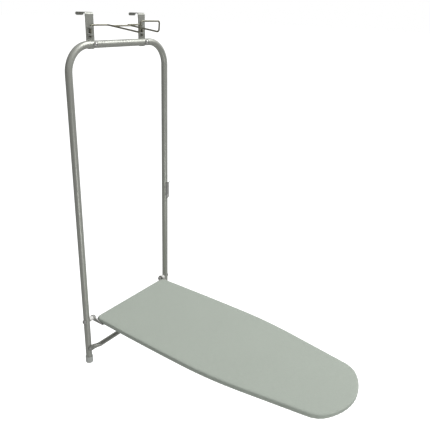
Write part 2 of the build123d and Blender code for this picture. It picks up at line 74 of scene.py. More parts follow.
# The felt pad's edge.
FELT_ROUND = 3.3 * MM                           # radius of its upper edge
FELT_INSET = 0.5 * MM                           # how far it stays inside the CAD pad

ROUND_TUBES = ("frame_tube", "strut_tube")
DOOR_HOOKS = ("door_hook_left", "door_hook_right")
REST_WIRES = ("iron_rest_loop", "iron_rest_crosswire")
BOARD_METAL = ("board_sheet", "board_rim", "cross_rail_rear", "cross_rail_middle", "cross_rail_front")
ZINC_FITTINGS = (
    "hinge_bracket_left", "hinge_bracket_right", "strut_clevis", "catch_lever",
    "hook_bolts", "hook_washers", "crossbar_screws", "pivot_bolts", "pivot_washers", "pivot_nuts",
    "bracket_rivets", "clevis_rivets", "strut_pin", "strut_clip", "catch_rivet",
)
GREY_PLASTIC = ("leg_cap_left", "leg_cap_right", "strut_shoe")
PALE_PLASTIC = ("pivot_spacers", "catch_spacer", "strut_washers")


# ---------------------------------------------------------------- settings
class ClothSettings(bpy.types.PropertyGroup):
    """Sizes and colours of the cover and the pad."""
    cover_colour: FloatVectorProperty(
        name="Cover Colour", description="Sage-grey of the cotton", subtype="COLOR",
        default=(0.437, 0.484, 0.424), min=0, max=1)
    felt_colour: FloatVectorProperty(
        name="Felt Colour", description="Off-white of the felt pad", subtype="COLOR",
        default=(0.72, 0.70, 0.64), min=0, max=1)
    thread_pitch: FloatProperty(
        name="Thread Pitch", description="Distance between two threads of the weave",
        default=0.55 * MM, unit="LENGTH", precision=5)
    cloth_thickness: FloatProperty(
        name="Cloth Thickness", description="Thickness of the cotton cover",
        default=0.6 * MM, unit="LENGTH", precision=5)
    edge_round: FloatProperty(
        name="Edge Rounding", description="Radius of the cover where it turns over the pad's edge",
        default=4.5 * MM, unit="LENGTH", precision=5)
    hem_depth: FloatProperty(
        name="Hem Depth", description="How far the cover is turned in under the board",
        default=30 * MM, unit="LENGTH")
    gather_depth: FloatProperty(
        name="Gather Depth", description="Depth of the small folds along the hem",
        default=1.6 * MM, unit="LENGTH", precision=5)
    wrinkle_depth: FloatProperty(
        name="Wrinkle Depth", description="Height of the slack waves on top of the cover",
        default=0.55 * MM, unit="LENGTH", precision=5)
    around: IntProperty(
        name="Points Around", description="Mesh points round the board's outline", default=720, min=96)


class MetalSettings(bpy.types.PropertyGroup):
    """Colours of the painted steel, the zinc and the plastic."""
    tube_colour: FloatVectorProperty(
        name="Tube Paint", description="Silver-grey paint on the tubes", subtype="COLOR",
        default=(0.405, 0.415, 0.377), min=0, max=1)
    wire_colour: FloatVectorProperty(
        name="Wire Paint", description="Olive-grey paint on the iron rest's wire", subtype="COLOR",
        default=(0.225, 0.22, 0.17), min=0, max=1)
    sheet_colour: FloatVectorProperty(
        name="Sheet Paint", description="Grey paint on the board's underside", subtype="COLOR",
        default=(0.26, 0.265, 0.25), min=0, max=1)
    zinc_colour: FloatVectorProperty(
        name="Zinc", description="Bright zinc on the fittings", subtype="COLOR",
        default=(0.50, 0.50, 0.48), min=0, max=1)
    plastic_colour: FloatVectorProperty(
        name="Plastic", description="Light grey of the caps and the shoe", subtype="COLOR",
        default=(0.54, 0.56, 0.53), min=0, max=1)
    spacer_colour: FloatVectorProperty(
        name="Pale Plastic", description="Off-white of the spacers and washers", subtype="COLOR",
        default=(0.80, 0.80, 0.77), min=0, max=1)


class StageSettings(bpy.types.PropertyGroup):
    """Camera, lights and floor."""
    lens: FloatProperty(
        name="Lens", description="Focal length on a 36 mm sensor", default=42.44, unit="CAMERA")
    floor_drop: FloatProperty(
        name="Floor Drop", description="Floor below the top of the door", default=DOOR_HEIGHT, unit="LENGTH")
    key_power: FloatProperty(
        name="Key Power", description="Power of the large soft light", default=72, unit="POWER")
    fill_power: FloatProperty(
        name="Fill Power", description="Power of the light on the other side", default=5, unit="POWER")
    strip_power: FloatProperty(
        name="Strip Power", description="Power of the low light that streaks the tubes",
        default=6, unit="POWER")
    sky: FloatProperty(
        name="Surround", description="Brightness of the pale surround", default=0.62, min=0)


# ---------------------------------------------------------------- shader building
def shader_group(name, inputs, outputs):
    """Empty shader node group with float, colour or vector sockets; returns tree, input and output node."""
    tree = bpy.data.node_groups.new(name, "ShaderNodeTree")
    kinds = {"f": "NodeSocketFloat", "c": "NodeSocketColor", "v": "NodeSocketVector"}
    for direction, sockets in (("INPUT", inputs), ("OUTPUT", outputs)):
        for label, kind, *value in sockets:
            socket = tree.interface.new_socket(name=label, in_out=direction, socket_type=kinds[kind])
            if value:
                socket.default_value = value[0]
    return tree, tree.nodes.new("NodeGroupInput"), tree.nodes.new("NodeGroupOutput")


def math_node(tree, operation, *values):
    """Math node fed by sockets or numbers; returns its output."""
    node = tree.nodes.new("ShaderNodeMath")
    node.operation = operation
    for slot, value in zip(node.inputs, values):
        if isinstance(value, bpy.types.NodeSocket):
            tree.links.new(value, slot)
        else:
            slot.default_value = value
    return node.outputs[0]


def noise_node(tree, vector, scale, detail=3.0, roughness=0.5, stretch=None):
    """Noise texture on a vector, optionally stretched; returns its factor output."""
    if stretch:
        mapping = tree.nodes.new("ShaderNodeMapping")
        mapping.inputs["Scale"].default_value = stretch
        tree.links.new(vector, mapping.inputs["Vector"])
        vector = mapping.outputs["Vector"]
    node = tree.nodes.new("ShaderNodeTexNoise")
    node.inputs["Detail"].default_value = detail
    node.inputs["Roughness"].default_value = roughness
    tree.links.new(vector, node.inputs["Vector"])
    if isinstance(scale, bpy.types.NodeSocket):
        tree.links.new(scale, node.inputs["Scale"])
    else:
        node.inputs["Scale"].default_value = scale
    return node.outputs["Fac"]


def mix_colour(tree, factor, first, second):
    """Mix two colours, each a socket or a value; returns the colour output."""
    node = tree.nodes.new("ShaderNodeMix")
    node.data_type = "RGBA"
    for slot, value in ((node.inputs[0], factor), (node.inputs[6], first), (node.inputs[7], second)):
        if isinstance(value, bpy.types.NodeSocket):
            tree.links.new(value, slot)
        elif hasattr(value, "__len__"):
            slot.default_value = (*value[:3], 1.0)
        else:
            slot.default_value = value
    return node.outputs[2]


def remap(tree, value, low, high, to_low, to_high):
    """Clamped linear remap of a socket."""
    node = tree.nodes.new("ShaderNodeMapRange")
    for slot, number in zip(node.inputs[1:5], (low, high, to_low, to_high)):
        slot.default_value = number
    tree.links.new(value, node.inputs[0])
    return node.outputs[0]


def grain_group():
    """Fine surface grain and slow shade drift for paint and moulded plastic."""
    tree, given, out = shader_group(
        "Surface Grain",
        [("Vector", "v"), ("Grain Scale", "f", 900.0), ("Drift Scale", "f", 14.0)],
        [("Height", "f"), ("Drift", "f"), ("Speckle", "f")],
    )
    fine = noise_node(tree, given.outputs["Vector"], given.outputs["Grain Scale"], 2.0, 0.6)
    slow = noise_node(tree, given.outputs["Vector"], given.outputs["Drift Scale"], 4.0, 0.55)
    doubled = math_node(tree, "MULTIPLY", given.outputs["Grain Scale"], 2.7)
    speckle = noise_node(tree, given.outputs["Vector"], doubled, 1.0, 0.5)
    tree.links.new(fine, out.inputs["Height"])
    tree.links.new(slow, out.inputs["Drift"])
    tree.links.new(remap(tree, speckle, 0.35, 0.7, 0.0, 1.0), out.inputs["Speckle"])
    return tree


def handling_group():
    """Scuffs and faint rubbed patches left by handling; an output of 1 is fully rubbed."""
    tree, given, out = shader_group(
        "Handling Marks",
        [("Vector", "v"), ("Scuff Scale", "f", 60.0), ("Amount", "f", 0.5)],
        [("Scuff", "f"), ("Smudge", "f")],
    )
    streak = noise_node(tree, given.outputs["Vector"], given.outputs["Scuff Scale"], 6.0, 0.7, (1, 1, 0.12))
    patch = noise_node(tree, given.outputs["Vector"], 9.0, 3.0, 0.6)
    line = remap(tree, streak, 0.60, 0.74, 0.0, 1.0)
    where = remap(tree, patch, 0.42, 0.62, 0.0, 1.0)
    scuff = math_node(tree, "MULTIPLY", line, where)
    tree.links.new(math_node(tree, "MULTIPLY", scuff, given.outputs["Amount"]), out.inputs["Scuff"])
    tree.links.new(math_node(tree, "MULTIPLY", where, given.outputs["Amount"]), out.inputs["Smudge"])
    return tree


def weave_group():
    """Plain weave: warp and weft threads that pass over and under each other."""
    tree, given, out = shader_group(
        "Plain Weave",
        [("Vector", "v"), ("Pitch", "f", 0.55 * MM), ("Slub", "f", 0.5)],
        [("Height", "f"), ("Thread", "f"), ("Heather", "f")],
    )
    split = tree.nodes.new("ShaderNodeSeparateXYZ")
    wobble = noise_node(tree, given.outputs["Vector"], 420.0, 2.0, 0.5)
    tree.links.new(given.outputs["Vector"], split.inputs[0])
    half_turn = math_node(tree, "DIVIDE", math.pi, given.outputs["Pitch"])
    slub = math_node(tree, "MULTIPLY", wobble, given.outputs["Slub"])
    side = math_node(tree, "ADD", split.outputs["X"], split.outputs["Z"])
    along = math_node(tree, "SUBTRACT", split.outputs["Y"], split.outputs["Z"])
    warp_phase = math_node(tree, "ADD", math_node(tree, "MULTIPLY", side, half_turn), slub)
    weft_phase = math_node(tree, "ADD", math_node(tree, "MULTIPLY", along, half_turn), slub)
    warp = math_node(tree, "ABSOLUTE", math_node(tree, "SINE", warp_phase))
    weft = math_node(tree, "ABSOLUTE", math_node(tree, "SINE", weft_phase))
    cross_a = math_node(tree, "COSINE", math_node(tree, "MULTIPLY", warp_phase, 0.5))
    cross_b = math_node(tree, "COSINE", math_node(tree, "MULTIPLY", weft_phase, 0.5))
    over = math_node(tree, "GREATER_THAN", math_node(tree, "MULTIPLY", cross_a, cross_b), 0.0)
    chosen = tree.nodes.new("ShaderNodeMix")
    tree.links.new(over, chosen.inputs[0])
    tree.links.new(warp, chosen.inputs[2])
    tree.links.new(weft, chosen.inputs[3])
    gap = math_node(tree, "MULTIPLY", warp, weft)
    height = math_node(tree, "ADD", math_node(tree, "MULTIPLY", chosen.outputs[0], 0.6), gap)
    heather = noise_node(tree, given.outputs["Vector"], 260.0, 4.0, 0.65, (1.0, 0.25, 1.0))
    tree.links.new(height, out.inputs["Height"])
    tree.links.new(chosen.outputs[0], out.inputs["Thread"])
    tree.links.new(heather, out.inputs["Heather"])
    return tree


def edge_group():
    """Rounded-off normal on sharp edges, and a mask of the edges where the finish has rubbed thin."""
    tree, given, out = shader_group(
        "Soft Edges",
        [("Vector", "v"), ("Radius", "f", 0.5 * MM), ("Wear", "f", 0.5)],
        [("Normal", "v"), ("Edge", "f")],
    )
    rounded = tree.nodes.new("ShaderNodeBevel")
    rounded.samples = 6
    tree.links.new(given.outputs["Radius"], rounded.inputs["Radius"])
    flat = tree.nodes.new("ShaderNodeNewGeometry")
    dot = tree.nodes.new("ShaderNodeVectorMath")
    dot.operation = "DOT_PRODUCT"
    tree.links.new(rounded.outputs["Normal"], dot.inputs[0])
    tree.links.new(flat.outputs["Normal"], dot.inputs[1])
    edge = remap(tree, dot.outputs["Value"], 0.99, 0.80, 0.0, 1.0)
    broken = noise_node(tree, given.outputs["Vector"], 160.0, 5.0, 0.65)
    patchy = remap(tree, broken, 0.42, 0.60, 0.0, 1.0)
    worn = math_node(tree, "MULTIPLY", math_node(tree, "MULTIPLY", edge, patchy), given.outputs["Wear"])
    tree.links.new(rounded.outputs["Normal"], out.inputs["Normal"])
    tree.links.new(worn, out.inputs["Edge"])
    return tree


GROUP_MAKERS = {
    "Surface Grain": grain_group,
    "Handling Marks": handling_group,
    "Plain Weave": weave_group,
    "Soft Edges": edge_group,
}


def use_group(material, name, **values):
    """Place a shared node group in a material with its own values, fed by object coordinates."""
    tree = material.node_tree
    node = tree.nodes.new("ShaderNodeGroup")
    node.node_tree = bpy.data.node_groups.get(name) or GROUP_MAKERS[name]()
    place = tree.nodes.new("ShaderNodeTexCoord")
    tree.links.new(place.outputs["Object"], node.inputs["Vector"])
    for label, value in values.items():
        node.inputs[label.replace("_", " ")].default_value = value
    return node


def new_material(name, roughness, metallic=0.0, **sockets):
    """Material with one Principled shader; extra sockets are set by name with underscores."""
    material = bpy.data.materials.new(name)
    material.use_nodes = True
    shader = material.node_tree.nodes["Principled BSDF"]
    shader.inputs["Roughness"].default_value = roughness
    shader.inputs["Metallic"].default_value = metallic
    for label, value in sockets.items():
        shader.inputs[label.replace("_", " ")].default_value = value
    return material, shader


def bump(material, shader, height, distance, strength=1.0, under=None):
    """Bump from a height socket in front of the shader's normal; returns the node."""
    node = material.node_tree.nodes.new("ShaderNodeBump")
    node.inputs["Distance"].default_value = distance
    node.inputs["Strength"].default_value = strength
    material.node_tree.links.new(height, node.inputs["Height"])
    if under:
        material.node_tree.links.new(under.outputs["Normal"], node.inputs["Normal"])
    material.node_tree.links.new(node.outputs["Normal"], shader.inputs["Normal"])
    return node


def shade(colour, factor):
    """Colour multiplied by a factor."""
    return tuple(channel * factor for channel in colour)


def painted_steel(name, colour, roughness=0.38):
    """Satin silver-grey paint over steel: fine orange peel, slow drift, a few rubbed streaks."""
    material, shader = new_material(name, roughness, 0.6, Coat_Weight=0.12, Coat_Roughness=0.2)
    tree = material.node_tree
    grain = use_group(material, "Surface Grain", Grain_Scale=650.0, Drift_Scale=11.0)
    marks = use_group(material, "Handling Marks", Scuff_Scale=90.0, Amount=0.55)
    base = mix_colour(tree, grain.outputs["Drift"], shade(colour, 0.90), shade(colour, 1.10))
    flake_share = math_node(tree, "MULTIPLY", grain.outputs["Speckle"], 0.16)
    flake = mix_colour(tree, flake_share, base, shade(colour, 1.5))
    edges = use_group(material, "Soft Edges", Radius=0.45 * MM, Wear=0.5)
    scuffed = mix_colour(tree, marks.outputs["Scuff"], flake, shade(colour, 1.35))
    worn = mix_colour(tree, edges.outputs["Edge"], scuffed, shade(colour, 1.55))
    tree.links.new(worn, shader.inputs["Base Color"])
    drifting = remap(tree, grain.outputs["Drift"], 0.3, 0.7, roughness - 0.05, roughness + 0.06)
    smudged = math_node(tree, "MULTIPLY", marks.outputs["Smudge"], 0.10)
    tree.links.new(math_node(tree, "ADD", drifting, smudged), shader.inputs["Roughness"])
    bump(material, shader, grain.outputs["Height"], 0.05 * MM, 0.6, under=edges)
    return material


def zinc(name, colour):
    """Bright zinc plate: brushed streaks, faint spangle and dulled patches."""
    material, shader = new_material(name, 0.3, 0.9)
    tree = material.node_tree
    grain = use_group(material, "Surface Grain", Grain_Scale=1400.0, Drift_Scale=45.0)
    marks = use_group(material, "Handling Marks", Scuff_Scale=240.0, Amount=0.8)
    base = mix_colour(tree, grain.outputs["Drift"], shade(colour, 0.84), shade(colour, 1.12))
    edges = use_group(material, "Soft Edges", Radius=0.35 * MM, Wear=0.7)
    dull = mix_colour(tree, marks.outputs["Scuff"], base, shade(colour, 0.62))
    dulled = mix_colour(tree, edges.outputs["Edge"], dull, shade(colour, 1.25))
    tree.links.new(dulled, shader.inputs["Base Color"])
    tree.links.new(remap(tree, grain.outputs["Drift"], 0.3, 0.7, 0.24, 0.42), shader.inputs["Roughness"])
    bump(material, shader, grain.outputs["Height"], 0.03 * MM, 0.5, under=edges)
    return material


def moulded_plastic(name, colour):
    """Moulded plastic with a fine spark-eroded grain."""
    material, shader = new_material(name, 0.5)
    tree = material.node_tree
    grain = use_group(material, "Surface Grain", Grain_Scale=1100.0, Drift_Scale=25.0)
    marks = use_group(material, "Handling Marks", Scuff_Scale=150.0, Amount=0.7)
    base = mix_colour(tree, grain.outputs["Drift"], shade(colour, 0.93), shade(colour, 1.06))
    edges = use_group(material, "Soft Edges", Radius=0.5 * MM, Wear=0.4)
    smudged = mix_colour(tree, marks.outputs["Scuff"], base, shade(colour, 0.7))
    rubbed = mix_colour(tree, edges.outputs["Edge"], smudged, shade(colour, 1.2))
    tree.links.new(rubbed, shader.inputs["Base Color"])
    tree.links.new(remap(tree, grain.outputs["Drift"], 0.3, 0.7, 0.44, 0.58), shader.inputs["Roughness"])
    bump(material, shader, grain.outputs["Height"], 0.08 * MM, 0.8, under=edges)
    return material


def cotton(name, colour, pitch):
    """Coated cotton: plain weave, heathered threads, painted shade in the hollows between the threads, faint
    silvery sheen.
    """
    material, shader = new_material(name, 0.62, 0.0, Sheen_Weight=0.18, Sheen_Roughness=0.4)
    tree = material.node_tree
    weave = use_group(material, "Plain Weave", Pitch=pitch, Slub=0.8)
    grain = use_group(material, "Surface Grain", Grain_Scale=300.0, Drift_Scale=7.0)
    drifted = mix_colour(tree, grain.outputs["Drift"], shade(colour, 0.95), shade(colour, 1.05))
    heather = remap(tree, weave.outputs["Heather"], 0.35, 0.65, 0.0, 1.0)
    threads = mix_colour(tree, heather, shade(colour, 0.93), shade(colour, 1.07))
    mixed = mix_colour(tree, 0.5, drifted, threads)
    # Painted shade: the colour darkens where the weave sinks between threads, standing in for the shade in
    # those hollows.
    gap_shade_share = remap(tree, weave.outputs["Height"], 0.2, 1.2, 0.35, 0.0)
    gap_painted_shade = mix_colour(tree, gap_shade_share, mixed, shade(colour, 0.72))
    tree.links.new(gap_painted_shade, shader.inputs["Base Color"])
    tree.links.new(remap(tree, weave.outputs["Heather"], 0.3, 0.7, 0.55, 0.7), shader.inputs["Roughness"])
    soft = bump(material, shader, grain.outputs["Drift"], 0.6 * MM, 0.25)
    bump(material, shader, weave.outputs["Height"], 0.12 * MM, 0.7, under=soft)
    return material


def felt(name, colour):
    """Needled felt: matted fibres and needle dimples."""
    material, shader = new_material(name, 0.95, 0.0, Sheen_Weight=0.4)
    tree = material.node_tree
    grain = use_group(material, "Surface Grain", Grain_Scale=520.0, Drift_Scale=60.0)
    base = mix_colour(tree, grain.outputs["Drift"], shade(colour, 0.85), shade(colour, 1.1))
    fibre_share = math_node(tree, "MULTIPLY", grain.outputs["Speckle"], 0.35)
    fibres = mix_colour(tree, fibre_share, base, shade(colour, 0.7))
    tree.links.new(fibres, shader.inputs["Base Color"])
    bump(material, shader, grain.outputs["Height"], 0.5 * MM, 0.9)
    return material


def dress(node_names, material):
    """Give carried-over metal and plastic nodes their material."""
    for name in node_names:
        mesh = NODES[name].data
        mesh.materials.clear()
        mesh.materials.append(material)


# ---------------------------------------------------------------- cloth building
def board_outline(count):
    """Points round the covered board's edge, mirrored left to right, with outward normals.

    The edge is the hull of the CAD cover, walked from the middle of the rear to the nose.
    """
    flat = [v.co.xy for v in NODES["cover"].data.vertices]
    hull = [flat[i] for i in convex_hull_2d(flat)]
    middle = Vector((0.0, (COVER_LOW.y + COVER_HIGH.y) / 2))
    right = sorted((p for p in hull if p.x > 1e-5), key=lambda p: math.atan2(p.x, p.y - middle.y))
    walk = [Vector((0.0, COVER_HIGH.y)), *right, Vector((0.0, COVER_LOW.y))]
    lengths = [(b - a).length for a, b in zip(walk, walk[1:])]
    half = count // 2
    step = sum(lengths) / half
    points, walked, leg = [], 0.0, 0
    for k in range(half + 1):
        wanted = min(k * step, sum(lengths) - 1e-9)
        while wanted > walked + lengths[leg]:
            walked += lengths[leg]
            leg += 1
        points.append(walk[leg].lerp(walk[leg + 1], (wanted - walked) / lengths[leg]))
    loop = points + [Vector((-p.x, p.y)) for p in reversed(points[1:-1])]
    for _ in range(4):
        loop = [(loop[i - 1] + loop[i] * 2 + loop[(i + 1) % count]) / 4 for i in range(count)]
    normals = []
    for i in range(count):
        along = loop[(i + 1) % count] - loop[i - 1]
        normal = Vector((along.y, -along.x)).normalized()
        normals.append(normal if normal.dot(loop[i] - middle) > 0 else -normal)
    return loop, normals


def ring(outline, inset, height):
    """Points of one ring; inset and height are numbers or functions of the point's index."""
    loop, normals = outline
    points = []
    for i, (place, normal) in enumerate(zip(loop, normals)):
        depth = inset(i) if callable(inset) else inset
        level = height(i) if callable(height) else height
        points.append(Vector((*(place - normal * depth), level)))
    return points


def fill_disc(edge, spacing, height):
    """Triangles over the area inside a ring: its points, then a hexagonal field of inner points."""
    flat = [Vector(p.xy) for p in edge]
    count = len(flat)
    field = []
    low = Vector((min(p.x for p in flat), min(p.y for p in flat)))
    high = Vector((max(p.x for p in flat), max(p.y for p in flat)))
    row, y = 0, low.y + spacing * 0.7
    while y < high.y - spacing * 0.5:
        crossings = []
        for i in range(count):
            a, b = flat[i - 1], flat[i]
            if (a.y > y) != (b.y > y):
                crossings.append(a.x + (b.x - a.x) * (y - a.y) / (b.y - a.y))
        limit = max(crossings) - spacing * 0.7
        columns = int(limit / spacing) + 1
        shift = 0.5 * (row % 2)
        across = [(c + shift) * spacing for c in range(-columns, columns + 1)]
        field += [Vector((x, y)) for x in across if abs(x) < limit]
        y += spacing * math.sqrt(3) / 2
        row += 1
    loop = [(i, (i + 1) % count) for i in range(count)]
    points, _, faces, *_ = delaunay_2d_cdt(flat + field, loop, [], 1, 1e-7)
    if len(points) != count + len(field):
        raise RuntimeError("the cloth's field of points has doubles")
    return [Vector((*p, height)) for p in points[count:]], faces


def sew(name, rings, disc_faces, disc_points):
    """Mesh object from rings joined in order and a disc that closes the first ring."""
    count = len(rings[0])
    points = [p for one in rings for p in one]
    start = len(points)
    points += disc_points
    faces = []
    for r in range(len(rings) - 1):
        for i in range(count):
            j = (i + 1) % count
            faces.append((r * count + i, r * count + j, (r + 1) * count + j, (r + 1) * count + i))
    faces += [tuple(v if v < count else start + v - count for v in face) for face in disc_faces]
    mesh = bpy.data.meshes.new(name)
    mesh.from_pydata(points, [], faces)
    mesh.validate()
    work = bmesh.new()
    work.from_mesh(mesh)
    bmesh.ops.recalc_face_normals(work, faces=work.faces)
    if sum(face.normal.z * face.calc_area() for face in work.faces) < 0:
        bmesh.ops.reverse_faces(work, faces=work.faces)
    work.to_mesh(mesh)
    work.free()
    mesh.polygons.foreach_set("use_smooth", [True] * len(mesh.polygons))
    piece = bpy.data.objects.new(name, mesh)
    bpy.context.scene.collection.objects.link(piece)
    return piece


def hem_depth_at(place, full):
    """How far the hem is turned in at a point of the edge: short where the hinge brackets pass."""
    side_room = (abs(place.x) - FLANGE_LOW.x + 5 * MM) / BRACKET_FADE
    rear_room = (place.y - FLANGE_LOW.y + 4 * MM) / BRACKET_FADE
    near = min(max(min(side_room, rear_room), 0.0), 1.0)
    near = near * near * (3 - 2 * near)
    return full + (BRACKET_HEM - full) * near


def fold_wave(i, outline, coarse):
    """Uneven folds round the edge, from 0 to 1, steepest where the edge curves most."""
    loop, normals = outline
    count = len(loop)
    along = i * (loop[1] - loop[0]).length
    drift = noise.noise(Vector((along * 18.0, 3.1, 0.0)))
    wave = 0.5 - 0.5 * math.cos(2 * math.pi * along / coarse + 3.5 * drift)
    bend = (normals[(i + 4) % count] - normals[i - 4]).length * 5.0
    return wave * (0.35 + min(bend, 0.65))


def cover_rings(settings, outline):
    """Rings of the cover, from where it leaves the flat top, down the side and in under the board."""
    loop, _ = outline
    top, low, r = COVER_HIGH.z, COVER_LOW.z, settings.edge_round
    spacing = (loop[1] - loop[0]).length

    def side_fold(i):
        return SIDE_FOLD * (fold_wave(i, outline, SIDE_PITCH) - 0.8)

    rings = []
    for k in range(8):
        a = math.radians(90 * k / 7)
        rings.append(ring(outline, r * (1 - math.sin(a)), top - r * (1 - math.cos(a))))
    side = top - r - low - TURN
    for k in range(1, 6):
        t = k / 6
        pull = 0.20 * MM * math.sin(math.pi * t)
        rings.append(ring(outline, lambda i, t=t, pull=pull: pull + t * side_fold(i), top - r - side * t))
    for k in range(5):
        a = math.radians(90 * k / 4)
        rings.append(ring(
            outline,
            lambda i, a=a: TURN * (1 - math.cos(a)) + math.cos(a) * side_fold(i),
            low + TURN * (1 - math.sin(a))))
    steps = 16
    for k in range(1, steps + 1):
        t = k / steps

        def inset(i, t=t):
            return TURN + (hem_depth_at(loop[i], settings.hem_depth) - TURN) * t

        def height(i, t=t):
            full = hem_depth_at(loop[i], settings.hem_depth)
            room = (full - TURN) / settings.hem_depth
            from_end = (1 - t) * (full - TURN)
            roll = math.sin(math.pi * min(from_end / CASING, 1.0)) ** 0.6 if from_end < CASING else 0.0
            pucker = 0.7 + 0.3 * math.cos(2 * math.pi * i * spacing / PUCKER_PITCH)
            folds = settings.gather_depth * fold_wave(i, outline, GATHER_PITCH) * t
            return low - room * (folds + CASING_ROLL * roll * pucker) + room * 0.9 * MM * t

        rings.append(ring(outline, inset, height))
    return rings


def ripple(piece, first, outline, depth):
    """Slack waves over the top, and short folds that run in from the edge, from the given point on."""
    loop, _ = outline
    edge = KDTree(len(loop))
    for i, place in enumerate(loop):
        edge.insert((*place, 0.0), i)
    edge.balance()
    for vertex in piece.data.vertices[first:]:
        wave = noise.fractal(vertex.co * 13.0, 0.6, 2.0, 3)
        vertex.co.z += depth * max(-1.0, min(wave * 1.4, 1.0)) * 0.5
        _, nearest, gap = edge.find((vertex.co.x, vertex.co.y, 0.0))
        fading = math.exp(-gap / (24 * MM)) * min(1.0, max(0.0, gap - 5 * MM) / (8 * MM))
        patch = 0.5 + noise.noise(vertex.co * 9.0)
        vertex.co.z -= 2.6 * depth * patch * fold_wave(nearest, outline, 27 * MM) * fading


def settle(piece, below, holds, frames=18):
    """Let the cloth relax on what lies below it, with its edge held, and keep the result."""
    group = piece.vertex_groups.new(name="held")
    for weight, indices in holds:
        group.add(indices, weight, "REPLACE")
    below.modifiers.new("Under Cloth", "COLLISION")
    below.collision.thickness_outer = 0.2 * MM
    below.collision.cloth_friction = 20.0
    cloth = piece.modifiers.new("Settle", "CLOTH")
    fabric = cloth.settings
    fabric.quality = 6
    fabric.mass = 0.15
    fabric.tension_stiffness = 20.0
    fabric.compression_stiffness = 12.0
    fabric.shear_stiffness = 6.0
    fabric.bending_stiffness = 0.5
    fabric.vertex_group_mass = "held"
    fabric.shrink_min = -0.0012
    cloth.collision_settings.distance_min = 0.6 * MM
    cloth.collision_settings.use_self_collision = False
    cloth.point_cache.frame_end = frames
    scene = bpy.context.scene
    for number in range(1, frames + 1):
        scene.frame_set(number)
    graph = bpy.context.evaluated_depsgraph_get()
    settled = bpy.data.meshes.new_from_object(piece.evaluated_get(graph))
    if len(settled.vertices) != len(piece.data.vertices):
        raise RuntimeError("the settled cloth has lost or gained points")
    piece.modifiers.clear()
    piece.vertex_groups.clear()
    piece.data = settled
    below.modifiers.clear()
    scene.frame_set(1)


def capsule(start, end, radius, sides=6):
    """Points and faces of a short round thread between two points."""
    along = (end - start).normalized()
    across = along.orthogonal().normalized()
    up = along.cross(across)
    points, faces = [], []
    for share, size in ((0.0, 0.35), (0.12, 1.0), (0.88, 1.0), (1.0, 0.35)):
        centre = start.lerp(end, share)
        for k in range(sides):
            a = 2 * math.pi * k / sides
            points.append(centre + (across * math.cos(a) + up * math.sin(a)) * radius * size)
    for r in range(3):
        for k in range(sides):
            n = (k + 1) % sides
            faces.append((r * sides + k, r * sides + n, (r + 1) * sides + n, (r + 1) * sides + k))
    return points, faces


def stitch_row(loop):
    """Points and faces of short stitches along every second step of a closed loop."""
    points, faces = [], []
    count = len(loop)
    for i in range(0, count - 1, 2):
        start, end = loop[i], loop[(i + 2) % count]
        drop = Vector((0.0, 0.0, -0.25 * MM))
        near, far = start.lerp(end, 0.12) + drop, start.lerp(end, 0.80) + drop
        more, sides = capsule(near, far, 0.28 * MM)
        faces += [tuple(v + len(points) for v in face) for face in sides]
        points += more
    return points, faces


# ---------------------------------------------------------------- studio
def plain_floor(look):
    """Large pale floor at the foot of the door."""
    material, shader = new_material("Pale Floor", 0.9)
    tree = material.node_tree
    grain = use_group(material, "Surface Grain", Grain_Scale=30.0, Drift_Scale=0.6)
    tone = mix_colour(tree, grain.outputs["Drift"], (0.50, 0.50, 0.50), (0.54, 0.54, 0.54))
    tree.links.new(tone, shader.inputs["Base Color"])
    tree.links.new(tone, shader.inputs["Emission Color"])
    path = tree.nodes.new("ShaderNodeLightPath")
    lift = math_node(tree, "MULTIPLY", path.outputs["Is Camera Ray"], 1.7)
    tree.links.new(lift, shader.inputs["Emission Strength"])
    mesh = bpy.data.meshes.new("floor")
    size, level = 60.0, -look.floor_drop
    mesh.from_pydata([(-size, -size, level), (size, -size, level), (size, size, level), (-size, size, level)],
                     [], [(0, 1, 2, 3)])
    mesh.materials.append(material)
    floor = bpy.data.objects.new("floor", mesh)
    bpy.context.scene.collection.objects.link(floor)
    return floor


def soft_light(name, place, power, size):
    """Square area light aimed at the middle of the board."""
    light = bpy.data.lights.new(name, "AREA")
    light.energy, light.size = power, size
    lamp = bpy.data.objects.new(name, light)
    bpy.context.scene.collection.objects.link(lamp)
    lamp.location = place
    lamp.visible_camera = False
    aim = Vector((0.0, -0.35, -0.7)) - Vector(place)
    lamp.rotation_euler = aim.to_track_quat("-Z", "Y").to_euler()
    return lamp


def pale_surround(strength):
    """White surround to look at, and a softer light that falls from the front right and above."""
    world = bpy.data.worlds.new("Pale Surround")
    world.use_nodes = True
    tree = world.node_tree
    seen = tree.nodes["Background"]
    seen.inputs["Color"].default_value = (1.0, 1.0, 1.0, 1.0)
    place = tree.nodes.new("ShaderNodeTexCoord")
    dot = tree.nodes.new("ShaderNodeVectorMath")
    dot.operation = "DOT_PRODUCT"
    dot.inputs[1].default_value = Vector((0.50, -0.32, 0.80)).normalized()
    tree.links.new(place.outputs["Generated"], dot.inputs[0])
    glow = tree.nodes.new("ShaderNodeBackground")
    tree.links.new(remap(tree, dot.outputs["Value"], -0.6, 1.0, 0.09, 1.3), glow.inputs["Color"])
    glow.inputs["Strength"].default_value = strength
    path = tree.nodes.new("ShaderNodeLightPath")
    either = tree.nodes.new("ShaderNodeMixShader")
    tree.links.new(path.outputs["Is Camera Ray"], either.inputs[0])
    tree.links.new(glow.outputs[0], either.inputs[1])
    tree.links.new(seen.outputs[0], either.inputs[2])
    tree.links.new(either.outputs[0], tree.nodes["World Output"].inputs["Surface"])
    bpy.context.scene.world = world


